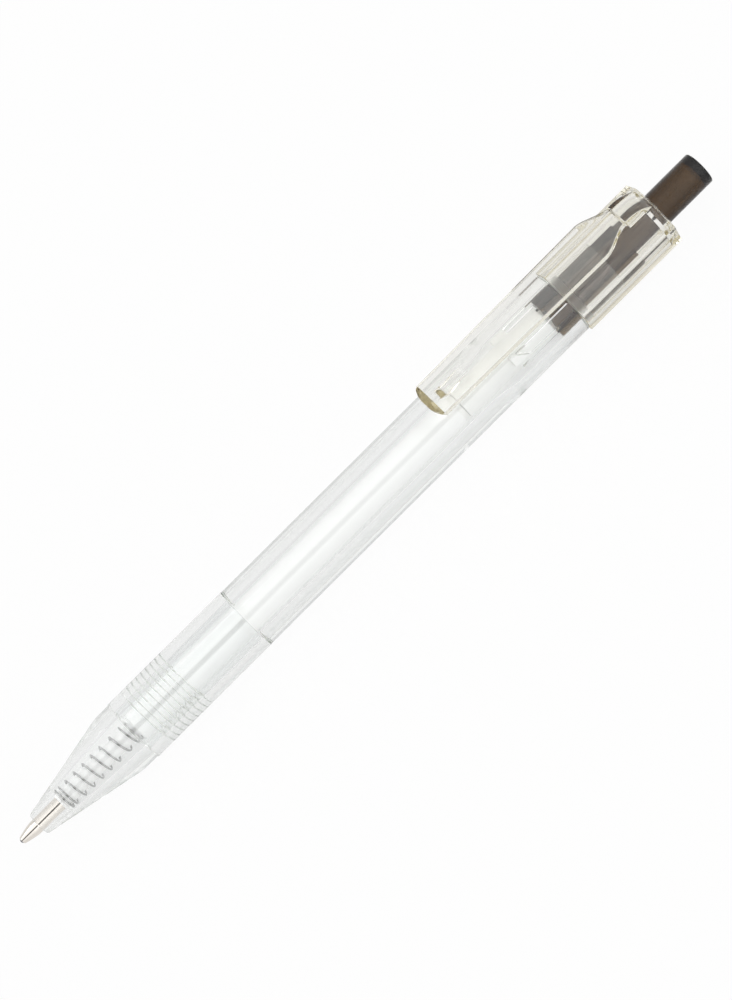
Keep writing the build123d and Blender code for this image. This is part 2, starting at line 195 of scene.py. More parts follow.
class BarrelSizes(bpy.types.PropertyGroup):
    """Clear barrel"""

    diameter: length("Diameter", "Outside of the barrel", 10.8)
    body: length("Length", "Length between the sleeve and the cap", 67.15)
    bore: length("Bore", "Hole for the refill", 6.0)
    edge: length("Edge", "Rounding of the barrel's ends", 0.1)
    chamber: length("Chamber diameter", "Wider hole for the cam and the button", 7.5)
    chamber_length: length("Chamber length", "Chamber in front of the cap", 13.25)
    taper: length("Chamber taper", "Slope from the bore into the chamber", 4.0)
    neck: length("Neck diameter", "Neck that the cap sits on", 8.6)
    rib_count: whole("Ribs", "Stop ribs round the chamber", 3)
    rib_angle: angle("First rib", "Place of the first rib round the pen", 135)
    rib_width: length("Rib width", "Width of a stop rib", 1.3)
    rib_inner: length("Rib inner diameter", "Diameter inside the ribs", 5.9)
    rib_start: length("Rib start", "Start of the ribs behind the chamber's floor", 2.3)
    rib_slant: length("Rib slant", "Rise of a rib's slanted end over its width", 1.971)
    rib_setback: length("Rib setback", "End of the ribs in front of the cap", 0.25)


class CapSizes(bpy.types.PropertyGroup):
    """Clear cap with its clip"""

    flats: length("Across flats", "Width of the eight-sided cap", 10.9)
    sides: whole("Sides", "Flat sides of the cap", 8)
    corner: length("Corner rounding", "Rounding between the sides", 0.5)
    body: length("Length", "Length of the cap without the clip", 19.1)
    edge: length("Edge", "Rounding of the cap's ends", 0.12)
    cavity: length("Cavity diameter", "Hollow of the cap", 8.7)
    cavity_chamfer: length("Cavity chamfer", "Slant at the cavity's end", 0.7)
    end_wall: length("End wall", "Wall round the button's hole", 1.0)
    hole: length("Button hole", "Diameter of the button's hole", 5.76)
    clip_gap: length("Clip gap", "Gap under the clip", 1.35)
    clip_thickness: length("Clip thickness", "Thickness of the clip", 1.1)
    clip_free: length("Clip free width", "Width at the free end", 6.6)
    clip_root: length("Clip root width", "Width where the shoulders start", 7.3)
    clip_neck: length("Clip neck width", "Width where the clip leaves the cap", 3.9)
    clip_edge: length("Clip edge", "Rounding along the clip", 0.16)
    shoulder_start: length("Shoulder start", "Start of the shoulders behind the cap's front", 8.2)
    shoulder_length: length("Shoulder length", "Length of the shoulders", 5.4)
    end_arc: length("End arc", "Height of the free end's arc", 0.5)
    end_corner: length("End corner", "Rounding of the free end's corners", 0.8)
    end_rise: length("End rise", "Height of the slant under the free end", 0.95)
    end_slant: length("End slant", "Length of that slant at the clip's corners", 0.7)
    root_length: length("Root length", "Length of the clip's root", 4.5)
    root_setback: length("Root setback", "Root in front of the cap's end", 0.5)
    root_embed: length("Root embed", "Depth of the root in the cap", 0.4)
    root_blend: length("Root blend", "Rounding under the clip at its root", 0.8)
    nub_length: length("Nub length", "Length of the gripping nub", 6.0)
    nub_width: length("Nub width", "Width of the gripping nub", 1.8)
    nub_setback: length("Nub setback", "Nub behind the free end", 1.4)
    nub_ramp: length("Nub ramp", "Length of the nub's front ramp", 1.9)
    nub_height: length("Nub height", "Height of the gripping nub", 1.15)


class ButtonSizes(bpy.types.PropertyGroup):
    """Smoked push button"""

    diameter: length("Diameter", "Shank of the button", 5.6)
    end_wall: length("End wall", "Thickness of the closed end", 1.3)
    wall: length("Wall", "Wall of the shank", 1.0)
    edge: length("Edge", "Rounding of the closed end", 0.25)
    wing: length("Wing diameter", "Diameter over the guide wings", 7.2)
    wing_length: length("Wing length", "Length of a guide wing", 16.55)
    wing_width: length("Wing width", "Width of a guide wing", 1.6)
    teeth: whole("Teeth", "Teeth of the lower rim", 6)
    tooth_depth: length("Tooth depth", "Depth of the teeth", 0.7)
    tooth_share: amount("Tooth share", "Share of the rim that a tooth takes", 0.9)


class CamSizes(bpy.types.PropertyGroup):
    """Pale cam between the button and the refill"""

    stem: length("Stem diameter", "Pusher stem", 5.0)
    stem_length: length("Stem length", "Length of the stem", 9.85)
    crown: length("Crown diameter", "Crown above the fins", 4.8)
    pilot: length("Pilot diameter", "Pilot inside the button", 3.2)
    pilot_length: length("Pilot length", "Length of the pilot", 5.5)
    fin: length("Fin diameter", "Diameter over the fins", 7.2)
    fin_width: length("Fin width", "Width of a fin", 1.2)
    fin_height: length("Fin height", "Shorter side of a fin", 0.9)
    edge: length("Edge", "Rounding of the edges", 0.08)


class RefillSizes(bpy.types.PropertyGroup):
    """White refill, its tip and the ball"""

    neck: length("Neck diameter", "Slim neck inside the spring", 2.7)
    neck_length: length("Neck length", "Length of the neck", 15.8)
    body: length("Body diameter", "Ink body", 5.0)
    wall: length("Wall", "Wall of the ink body", 0.7)
    edge: length("Shoulder edge", "Slant at the shoulder", 0.25)
    lip: length("Lip diameter", "Front lip round the ball", 1.2)
    cone: length("Tip cone length", "Length of the tip's cone", 2.6)
    bulge: length("Cone bulge", "Bulge of the cone", 0.06)
    tip: length("Tip diameter", "Shank of the tip", 2.3)
    tip_length: length("Tip length", "Length of the tip from the writing point", 8.7)
    tail: length("Tail diameter", "Tail pressed into the neck", 1.5)
    duct: length("Duct diameter", "Ink duct of the tip", 0.7)
    socket: length("Socket clearance", "Gap round the ball", 0.02)


class SpringSizes(bpy.types.PropertyGroup):
    """Return spring"""

    wire: length("Wire", "Diameter of the wire", 0.3)
    diameter: length("Diameter", "Outside of the spring", 4.0)
    open_turns: amount("Open turns", "Turns that work", 7)
    end_turns: amount("End turns", "Closed turns at each end", 1.5)
    end_pitch: length("End pitch", "Rise of a closed turn", 0.74)


class FinishColours(bpy.types.PropertyGroup):
    """Colours of the pen's finishes"""

    clear: colour("Clear plastic", "Surface of the clear nose and barrel", 0.985, 0.99, 0.99)
    clear_tint: colour("Clear tint", "Light through deep clear plastic", 0.6, 0.7, 0.6)
    straw: colour("Straw plastic", "Surface of the clear cap and clip", 0.99, 0.985, 0.97)
    straw_tint: colour("Straw tint", "Light through deep straw plastic", 0.62, 0.52, 0.1)
    smoke: colour("Smoked plastic", "Surface of the button", 0.86, 0.82, 0.78)
    smoke_tint: colour("Smoke tint", "Light through deep smoked plastic", 0.483, 0.351, 0.074)
    white: colour("White refill", "Extruded refill tube", 0.95, 0.95, 0.94)
    cam: colour("Cam", "Moulded cam", 0.9, 0.9, 0.88)
    steel: colour("Spring steel", "Drawn wire", 0.5, 0.5, 0.5)
    nickel: colour("Nickel silver", "Turned tip", 0.88, 0.83, 0.77)
    carbide: colour("Carbide", "Writing ball", 0.4, 0.4, 0.42)
    ink: colour("Ink", "Ink in the refill", 0.01, 0.015, 0.06)


class StageSizes(bpy.types.PropertyGroup):
    """Camera, floor and light"""

    distance: length("Camera distance", "From the camera to the pen's axis", 400)
    elevation: angle("Camera elevation", "Height of the camera above the table", 62)
    roll: angle("Camera roll", "Slope of the pen in the picture", 44.83)
    span: length("Picture height", "What the picture's long side shows at the pen", 150)
    aim: length("Aim", "Place along the pen that the camera looks at", 72)
    shift_right: length("Shift right", "Camera beside the aim", 0.69)
    shift_up: length("Shift up", "Camera over the aim", 0.54)
    floor: length("Floor radius", "Radius of the pale floor", 900)
    floor_gap: length("Floor gap", "Floor under the pen", 0.05)
    floor_white: amount("Floor white", "Share of the floor that the camera sees as plain white", 0.95)
    floor_glass: amount("Floor in glass", "Share of plain white seen through glass and in metal", 0.44)
    paper: colour("Paper", "Colour of the floor", 0.74, 0.74, 0.73)
    zenith: amount("Zenith", "Light from the camera's half of the sky", 1.42)
    horizon: amount("Horizon", "Light from all round", 0.8)
    gap: angle("Light gap", "Half width of the dark gap between the two bright sides", 12.5)
    shade: amount("Gap shade", "Share of the light left in that gap", 0.08)


# Shapes

def pen_point(station, radius, turn):
    """Place at a station along the pen, at a radius and an angle round its axis."""
    return Vector((PEN_FRONT + station, radius * cos(turn), AXIS_HEIGHT + radius * sin(turn)))


def evenly(count):
    """Evenly spaced angles round the pen."""
    return [TURN * index / count for index in range(count)]


def arc_between(centre, first, last, steps):
    """Points of the shorter arc round a centre, from one point to another."""
    start = first - centre
    end = last - centre
    spread = start.angle(end)
    points = []
    for step in range(steps + 1):
        share = step / steps
        arm = start * sin((1 - share) * spread) + end * sin(share * spread)
        points.append(centre + arm / sin(spread))
    return points


def rounded(corners):
    """Closed outline through (station, radius, rounding) corners, with arcs at the rounded ones."""
    outline = []
    for index, (station, radius, rounding) in enumerate(corners):
        here = Vector((station, radius))
        if not rounding:
            outline.append(here)
            continue
        before = Vector(corners[index - 1][:2]) - here
        after = Vector(corners[(index + 1) % len(corners)][:2]) - here
        half = before.angle(after) / 2
        run = min(rounding / tan(half), EDGE_SHARE * before.length, EDGE_SHARE * after.length)
        before.normalize()
        after.normalize()
        centre = here + (before + after).normalized() * (run / cos(half))
        outline.append(here + before * (run + HOLD))
        outline.extend(arc_between(centre, here + before * run, here + after * run, ARC_STEPS))
        outline.append(here + after * (run + HOLD))
    return outline


def divided(outline, low, high, radius, step):
    """Outline with more points on its run at a radius between two stations."""
    fine = []
    for index, point in enumerate(outline):
        fine.append(point)
        after = outline[(index + 1) % len(outline)]
        level = abs(point.y - radius) < HOLD / 4 and abs(after.y - radius) < HOLD / 4
        if not level:
            continue
        first, last = sorted((max(min(point.x, after.x), low), min(max(point.x, after.x), high)))
        count = ceil((last - first) / step)
        places = [first + (last - first) * number / count for number in range(count + 1)]
        if after.x < point.x:
            places.reverse()
        fine.extend(Vector((place, radius)) for place in places if HOLD < abs(place - point.x))
    return fine


def reworked(mesh, work=None):
    """Mesh after some work on it, with all its faces turned outwards."""
    builder = bmesh.new()
    builder.from_mesh(mesh)
    if work:
        work(builder)
    bmesh.ops.recalc_face_normals(builder, faces=builder.faces)
    builder.to_mesh(mesh)
    builder.free()
    return mesh


def ring_mesh(name, rings, closed):
    """Mesh through rings of points. A ring of one point is a pole."""
    vertices = []
    starts = []
    for ring in rings:
        starts.append(len(vertices))
        vertices.extend(ring)
    faces = []
    pairs = list(zip(range(len(rings) - 1), range(1, len(rings))))
    if closed:
        pairs.append((len(rings) - 1, 0))
    for first, second in pairs:
        width = max(len(rings[first]), len(rings[second]))
        for column in range(width):
            beside = (column + 1) % width
            corners = [starts[first] + column, starts[first] + beside]
            corners += [starts[second] + beside, starts[second] + column]
            if len(rings[first]) == 1:
                corners = [starts[first]] + corners[2:]
            elif len(rings[second]) == 1:
                corners = corners[:2] + [starts[second]]
            faces.append(corners)
    mesh = bpy.data.meshes.new(name)
    mesh.from_pydata(vertices, [], faces)
    return reworked(mesh)


def place_mesh(name, mesh):
    """Object that holds a mesh."""
    piece = bpy.data.objects.new(name, mesh)
    bpy.context.scene.collection.objects.link(piece)
    return piece


def lathe(name, outline, turns=None, relief=None):
    """Piece turned from an outline round the pen. A relief changes the radius from place to place."""
    turns = turns or evenly(COLUMNS)
    rings = []
    for station, radius in outline:
        if radius <= 0:
            rings.append([pen_point(station, 0, 0)])
        elif relief:
            rings.append([pen_point(station, relief(station, radius, turn), turn) for turn in turns])
        else:
            rings.append([pen_point(station, radius, turn) for turn in turns])
    return place_mesh(name, ring_mesh(name, rings, closed=len(rings[0]) > 1))


def block(name, corners, inner, outer, turn):
    """Prism that stands out from the pen's axis. Its corners are (station, sideways) pairs."""
    out = Vector((0, cos(turn), sin(turn)))
    side = Vector((0, sin(turn), -cos(turn)))
    rings = []
    for radius in (inner, outer):
        rings.append([])
        for station, aside in corners:
            rings[-1].append(pen_point(station, 0, 0) + out * radius + side * aside)

    def close_ends(builder):
        bmesh.ops.holes_fill(builder, edges=builder.edges)

    return reworked(ring_mesh(name, rings, closed=False), close_ends)


def combine(piece, mesh, operation):
    """Joins a mesh to a piece, or cuts it out."""
    tool = place_mesh("tool", mesh)
    change = piece.modifiers.new("change", "BOOLEAN")
    change.operation = operation
    change.solver = "EXACT"
    change.object = tool
    depsgraph = bpy.context.evaluated_depsgraph_get()
    changed = bpy.data.meshes.new_from_object(piece.evaluated_get(depsgraph))
    piece.modifiers.clear()
    old = piece.data
    piece.data = changed
    bpy.data.objects.remove(tool)
    for left in (old, mesh):
        bpy.data.meshes.remove(left)


def finish_piece(piece, body, node, material):
    """Gives a piece its smooth faces, its finish and its place among the construction pieces."""
    mesh = piece.data
    mesh.polygons.foreach_set("use_smooth", [True] * len(mesh.polygons))
    mesh.set_sharp_from_angle(angle=SHARP_ANGLE)
    mesh.materials.clear()
    mesh.materials.append(material)
    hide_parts(node)
    if body:
        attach(piece, body)


def weigh_normals(piece):
    """Lets the large faces of a cut or joined piece set its shading."""
    weighted = piece.modifiers.new("weighted normals", "WEIGHTED_NORMAL")
    weighted.keep_sharp = True
    weighted.weight = 100


def thread_share(screw, station, turn):
    """Depth of the fine thread line at a place, from 0 to 1."""
    climb = (station - reach("barrel")[0] - screw.lead_in) / screw.pitch - turn / TURN
    nearest = min(max(round(climb), 0), screw.turns - 1)
    aside = abs(climb - nearest) * screw.pitch
    wound = nearest + turn / TURN
    rise = min(wound, screw.turns - wound) / screw.fade
    return max(0, 1 - 2 * aside / screw.width) * max(0, min(1, rise))


# Finishes

class Socket:
    """A node's output that takes part in sums like a number."""

    def __init__(self, finish, output):
        self.finish = finish
        self.output = output

    def math(self, operation, first, second):
        """Math node on two values."""
        return self.finish.node("ShaderNodeMath", {"operation": operation}, {0: first, 1: second})

    def __add__(self, other):
        return self.math("ADD", self, other)

    __radd__ = __add__

    def __sub__(self, other):
        return self.math("SUBTRACT", self, other)

    def __rsub__(self, other):
        return self.math("SUBTRACT", other, self)

    def __mul__(self, other):
        return self.math("MULTIPLY", self, other)

    __rmul__ = __mul__

    def __pow__(self, other):
        return self.math("POWER", self, other)


class Finish:
    """A node tree that is built up by expressions."""

    def __init__(self, tree):
        self.tree = tree
        tree.nodes.clear()

    def node(self, kind, settings=None, inputs=None, output=0):
        """Adds a node, sets it up, fills its sockets and gives one of its outputs, if it has any."""
        made = self.tree.nodes.new(kind)
        for key, value in (settings or {}).items():
            setattr(made, key, value)
        for key, value in (inputs or {}).items():
            if isinstance(value, Socket):
                self.tree.links.new(value.output, made.inputs[key])
            else:
                made.inputs[key].default_value = value
        return Socket(self, made.outputs[output]) if made.outputs else None

    def place(self):
        """Place on the piece, in metres."""
        return self.node("ShaderNodeTexCoord", output="Object")

    def stretched(self, along, across):
        """Place on the piece, scaled apart along and across the pen."""
        inputs = {"Vector": self.place(), "Scale": (along, across, across)}
        return self.node("ShaderNodeMapping", None, inputs)

    def noise(self, place, scale=1.0):
        """Soft noise from 0 to 1."""
        inputs = {"Vector": place, "Scale": scale, "Detail": NOISE_DETAIL}
        return self.node("ShaderNodeTexNoise", None, inputs)

    def mix(self, share, first, second):
        """Colour between two colours."""
        settings = {"data_type": "RGBA"}
        return self.node("ShaderNodeMix", settings, {"Factor": share, 6: first, 7: second}, output=2)

    def bump(self, height, strength, distance):
        """Normal of a surface with a small relief."""
        inputs = {"Height": height, "Strength": strength, "Distance": distance}
        return self.node("ShaderNodeBump", None, inputs)

    def dot(self, first, second):
        """How far one direction goes along another."""
        settings = {"operation": "DOT_PRODUCT"}
        return self.node("ShaderNodeVectorMath", settings, {0: first, 1: second}, output="Value")

    def depth(self, tint, density):
        """Body colour that deepens with the thickness of the plastic."""
        inputs = {"Color": opaque(tint), "Density": density}
        return self.node("ShaderNodeVolumeAbsorption", None, inputs)

    def surface(self, inputs, volume=None):
        """Ends the tree in one plastic, metal or ink surface."""
        self.close(self.node("ShaderNodeBsdfPrincipled", None, inputs), volume)

    def close(self, shader, volume=None):
        """Ends the tree in its output."""
        ends = {"Surface": shader}
        if volume:
            ends["Volume"] = volume
        self.node("ShaderNodeOutputMaterial", None, ends)


def new_finish(name):
    """Empty material and its node tree."""
    material = bpy.data.materials.new(name)
    material.use_nodes = True
    return material, Finish(material.node_tree)


def opaque(value):
    """Colour with its alpha."""
    return (*value, 1.0)


def shaded(value, share):
    """Colour scaled by a share, darker below 1 and lighter above it."""
    return (*[channel * share for channel in value], 1.0)


def clear_plastic(name, surface, tint, density, worn=()):
    """Polished clear plastic with a body colour. Each worn (first, last, haze) stretch is hazy."""
    material, finish = new_finish(name)
    flow = finish.noise(finish.stretched(along=40, across=400))
    cloud = finish.noise(finish.place(), scale=90.0)
    roughness = 0.005 + 0.02 * cloud * flow
    for first, last, haze in worn:
        along = finish.node("ShaderNodeSeparateXYZ", None, {"Vector": finish.place()}, output="X")
        behind = along.math("GREATER_THAN", along, PEN_FRONT + first)
        before = along.math("LESS_THAN", along, PEN_FRONT + last)
        roughness = roughness + haze * behind * before
    inputs = {
        "Base Color": finish.mix(cloud, opaque(surface), shaded(surface, share=0.985)),
        "Roughness": roughness,
        "IOR": PLASTIC_IOR,
        "Transmission Weight": 1.0,
        "Normal": finish.bump(flow, strength=0.01, distance=0.005 * MM),
    }
    finish.surface(inputs, finish.depth(tint, density))
    return material


def smoked_plastic(name, surface, tint, density):
    """Smoked see-through plastic, slightly hazy."""
    material, finish = new_finish(name)
    flow = finish.noise(finish.stretched(along=60, across=900))
    inputs = {
        "Base Color": finish.mix(flow, opaque(surface), shaded(surface, share=0.93)),
        "Roughness": 0.03 + 0.04 * flow,
        "IOR": SMOKED_IOR,
        "Transmission Weight": 1.0,
        "Normal": finish.bump(flow, strength=0.02, distance=0.01 * MM),
    }
    finish.surface(inputs, finish.depth(tint, density))
    return material


def white_plastic(name, surface, lines):
    """Satin white plastic with fine lines along it."""
    material, finish = new_finish(name)
    drawn = finish.noise(finish.stretched(along=15, across=lines))
    grain = finish.noise(finish.place(), scale=6000.0)
    inputs = {
        "Base Color": finish.mix(drawn, opaque(surface), shaded(surface, share=0.97)),
        "Roughness": 0.32 + 0.12 * grain,
        "IOR": WHITE_IOR,
        "Normal": finish.bump(drawn + 0.3 * grain, strength=0.15, distance=0.01 * MM),
    }
    finish.surface(inputs)
    return material


def turned_metal(name, surface, rings, roughness):
    """Metal with fine turning marks round the pen."""
    material, finish = new_finish(name)
    marks = finish.noise(finish.stretched(along=rings, across=20))
    inputs = {
        "Base Color": finish.mix(marks, opaque(surface), shaded(surface, share=0.85)),
        "Metallic": 1.0,
        "Roughness": roughness + 0.1 * marks,
        "Normal": finish.bump(marks, strength=0.2, distance=0.005 * MM),
    }
    finish.surface(inputs)
    return material


def dark_ink(name, surface):
    """Dark ink, a little uneven."""
    material, finish = new_finish(name)
    swirl = finish.noise(finish.place(), scale=300.0)
    inputs = {
        "Base Color": finish.mix(swirl, opaque(surface), shaded(surface, share=0.6)),
        "Roughness": 0.1 + 0.1 * swirl,
    }
    finish.surface(inputs)
    return material


# Pieces

class PEN_OT_nose(bpy.types.Operator):
    """Build the clear nose with the sleeve that screws over the barrel"""

    bl_idname = "pen.nose"
    bl_label = "Nose section"

    def execute(self, context):
        scene = context.scene
        nose = scene.pen_nose
        screw = scene.pen_screw
        front, rear = reach("nose_section")
        spigot_end = reach("barrel")[0]
        cone_end = front + nose.cone
        sleeve_start = cone_end + nose.collar_length
        room_end = spigot_end - nose.end_gap
        seat = front + nose.seat_depth
        guide_end = front + nose.guide_length
        thread_end = spigot_end + screw.threaded
        bore = screw.spigot / 2 + screw.play
        nut = bore - screw.play / 2
        tiny = 0.03 * MM
        mouth_edge = 0.08 * MM
        outline = rounded([
            (front, nose.guide / 2, mouth_edge),
            (front, nose.face / 2, nose.face_edge),
            (cone_end, nose.collar / 2, nose.blend),
            (sleeve_start, nose.collar / 2, 0),
            (sleeve_start, nose.sleeve / 2, tiny),
            (rear - PART_GAP, nose.sleeve / 2, nose.edge),
            (rear - PART_GAP, bore, tiny),
            (thread_end, bore, 0),
            (thread_end, nut, 0),
            (room_end, nut, tiny),
            (room_end, nose.room_rear / 2, tiny),
            (seat, nose.room_front / 2, 0),
            (seat, nose.neck_room / 2, tiny),
            (guide_end, nose.neck_room / 2, 0),
            (guide_end, nose.guide / 2, tiny),
        ])
        outline = divided(outline, room_end, thread_end, nut, screw.pitch / THREAD_ROWS)

        def ridge(station, radius, turn):
            if abs(radius - nut) > HOLD / 4:
                return radius
            return radius - (screw.depth - screw.play / 2) * thread_share(screw, station, turn)

        piece = lathe("clear_nose", outline, relief=ridge)
        colours = scene.pen_colours
        material = clear_plastic("clear nose", colours.clear, colours.clear_tint, CLEAR_DENSITY)
        finish_piece(piece, "casing", "nose_section", material)
        return {"FINISHED"}


class PEN_OT_barrel(bpy.types.Operator):
    """Build the clear barrel with its thread, bore, chamber and stop ribs"""

    bl_idname = "pen.barrel"
    bl_label = "Barrel"

    def execute(self, context):
        scene = context.scene
        barrel = scene.pen_barrel
        screw = scene.pen_screw
        front, rear = reach("barrel")
        body_start = reach("nose_section")[1]
        body_end = body_start + barrel.body
        floor = body_end - barrel.chamber_length
        thread_end = front + screw.threaded
        threaded = screw.spigot / 2 - screw.step
        tiny = 0.03 * MM
        outline = rounded([
            (front, barrel.bore / 2, tiny),
            (front, threaded, tiny),
            (thread_end, threaded, 0),
            (thread_end, screw.spigot / 2, 0),
            (body_start, screw.spigot / 2, 0),
            (body_start, barrel.diameter / 2, barrel.edge),
            (body_end, barrel.diameter / 2, barrel.edge),
            (body_end, barrel.neck / 2, 0),
            (rear, barrel.neck / 2, tiny),
            (rear, barrel.chamber / 2, tiny),
            (floor, barrel.chamber / 2, barrel.taper),
            (floor - barrel.taper, barrel.bore / 2, barrel.taper),
        ])
        outline = divided(outline, front, thread_end, threaded, screw.pitch / THREAD_ROWS)

        def groove(station, radius, turn):
            if abs(radius - threaded) > HOLD / 4:
                return radius
            return radius - screw.depth * thread_share(screw, station, turn)

        piece = lathe("clear_barrel", outline, relief=groove)
        rib_low = floor + barrel.rib_start
        rib_end = body_end - barrel.rib_setback
        half = barrel.rib_width / 2
        rib_high = rib_low + barrel.rib_slant
        corners = [(rib_low, half), (rib_high, -half), (rib_end, -half), (rib_end, half)]
        rib_root = (barrel.chamber + barrel.diameter) / 4
        for turn in evenly(barrel.rib_count):
            rib = block("rib", corners, barrel.rib_inner / 2, rib_root, barrel.rib_angle + turn)
            combine(piece, rib, "UNION")
        colours = scene.pen_colours
        worn = [
            (thread_end, body_start - tiny, SPIGOT_HAZE),
            (body_start - tiny, body_start + barrel.edge, NECK_HAZE),
            (body_end - barrel.edge, body_end + NECK_WORN, NECK_HAZE),
        ]
        tint = colours.clear_tint
        material = clear_plastic("clear barrel", colours.clear, tint, CLEAR_DENSITY, worn)
        finish_piece(piece, "casing", "barrel", material)
        weigh_normals(piece)
        return {"FINISHED"}


def facet_reach(turn, apothem, corner, sides):
    """Distance from the axis to a rounded many-sided outline."""
    half = pi / sides
    aside = abs((turn + half) % (2 * half) - half)
    flat = (apothem - corner) * tan(half)
    if aside <= atan2(flat, apothem):
        return apothem / cos(aside)
    centre = (apothem - corner) / cos(half)
    back = half - aside
    return centre * cos(back) + sqrt(corner**2 - (centre * sin(back)) ** 2)


def facet_turns(apothem, corner, sides):
    """Angles round a many-sided outline, close together at its corners."""
    half = pi / sides
    flat = (apothem - corner) * tan(half)
    centre = (apothem - corner) / cos(half)
    turns = []
    for side in range(sides):
        middle = 2 * half * side
        places = [flat * (2 * number / FLAT_COLUMNS - 1) for number in range(FLAT_COLUMNS + 1)]
        places[1:1] = [HOLD - flat]
        places[-1:-1] = [flat - HOLD]
        turns.extend(middle + atan2(place, apothem) for place in places)
        for step in range(1, CORNER_COLUMNS):
            bend = half * (2 * step / CORNER_COLUMNS - 1)
            turns.append(middle + half + atan2(corner * sin(bend), centre + corner * cos(bend)))
    return turns


def clip_section(station, half, low, high, edge, bow):
    """Closed loop across the clip: rounded at its edges, and bowed forwards in its middle."""
    edge = min(edge, EDGE_SHARE * (high - low), EDGE_SHARE * half)
    upper = []
    across = 8
    bends = 4
    for step in range(bends + 1):
        bend = pi / 2 * step / bends
        upper.append((edge - half - edge * cos(bend), high - edge + edge * sin(bend)))
    for step in range(1, across):
        upper.append(((half - edge) * (2 * step / across - 1), high))
    upper.extend((-aside, height) for aside, height in reversed(upper[: bends + 1]))
    lower = [(aside, low + high - height) for aside, height in reversed(upper)]
    loop = []
    for aside, height in upper + lower:
        shift = bow * (1 - (aside / half) ** 4)
        loop.append(Vector((PEN_FRONT + station - shift, aside, AXIS_HEIGHT + height)))
    return loop


def loop_mesh(name, loops):
    """Closed mesh through loops of points, whose ends are closed by strips across them."""
    count = len(loops[0])

    def close_ends(builder):
        builder.verts.ensure_lookup_table()
        for start in (0, count * (len(loops) - 1)):
            for index in range(count // 2 - 1):
                corners = (index, index + 1, count - 2 - index, count - 1 - index)
                builder.faces.new([builder.verts[start + corner] for corner in corners])

    return reworked(ring_mesh(name, loops, closed=False), close_ends)


def smooth_step(share):
    """Even S-curve from 0 to 1."""
    share = max(0, min(1, share))
    return share * share * (3 - 2 * share)


def clip_mesh(cap, cap_start, cap_end, clip_end):
    """The spring clip, from its rounded free end to its root in the cap."""
    inner = cap.flats / 2 + cap.clip_gap
    outer = inner + cap.clip_thickness
    root_end = cap_end - cap.root_setback
    root_start = root_end - cap.root_length
    shoulder = cap_start + cap.shoulder_start
    drop = outer - cap.flats / 2
    root_arc = (cap.root_length**2 + drop**2) / (2 * drop)
    free = clip_end + cap.end_arc

    def half_width(station):
        slim = cap.clip_free + (cap.clip_root - cap.clip_free) * (station - free) / (shoulder - free)
        neck = smooth_step((station - shoulder) / cap.shoulder_length)
        width = min(slim, cap.clip_root) * (1 - neck) + cap.clip_neck * neck
        back = max(0, cap.end_corner - (station - free))
        return width / 2 - cap.end_corner + sqrt(cap.end_corner**2 - back**2)

    def upper(station):
        if station > root_start:
            return outer - root_arc + sqrt(root_arc**2 - (station - root_start) ** 2)
        return outer

    def lower(station):
        along = station - (root_start - cap.root_blend)
        if along <= 0:
            return inner + cap.end_rise * max(0, 1 - (station - free) / cap.end_slant)
        if along < cap.root_blend:
            return inner - cap.root_blend + sqrt(cap.root_blend**2 - along**2)
        return cap.flats / 2 - cap.root_embed

    end_steps = 10
    bends = [cos(pi / 2 * step / end_steps) for step in range(end_steps + 1)]
    slant_end = free + cap.end_slant
    stations = [free + cap.end_corner * (1 - bend) for bend in bends]
    stations += [slant_end - HOLD, slant_end, slant_end + HOLD]
    stations += [free + row for row in CLIP_FREE_ROWS]
    stations += [shoulder - row for row in CLIP_SHOULDER_ROWS]
    steps = 16
    stations += [shoulder + cap.shoulder_length * step / steps for step in range(1, steps)]
    stations += [root_start - cap.root_blend * bend for bend in bends[:-1]]
    stations += [root_start - HOLD, root_start]
    stations += [root_start + cap.root_length * step / steps for step in range(1, steps + 1)]
    loops = []
    for station in sorted(stations):
        bow = cap.end_arc * max(0, 1 - (station - free) / cap.end_slant)
        half = half_width(station)
        low = lower(station)
        high = upper(station)
        loops.append(clip_section(station, half, low, high, cap.clip_edge, bow))
    return loop_mesh("clip", loops)


def nub_mesh(cap, clip_end):
    """The gripping nub under the clip's free end."""
    inner = cap.flats / 2 + cap.clip_gap
    start = clip_end + cap.end_arc + cap.nub_setback
    end = start + cap.nub_length
    crest = start + cap.nub_ramp
    half = cap.nub_width / 2
    high = inner + cap.clip_thickness / 2
    steps = 24
    loops = []
    for step in range(steps + 1):
        station = start + cap.nub_length * step / steps
        rise = min((station - start) / cap.nub_ramp, (end - station) / (end - crest))
        low = inner - cap.nub_height * smooth_step(max(rise, NUB_LEAST_RISE))
        loops.append(clip_section(station, half, low, high, NUB_EDGE, 0))
    return loop_mesh("nub", loops)


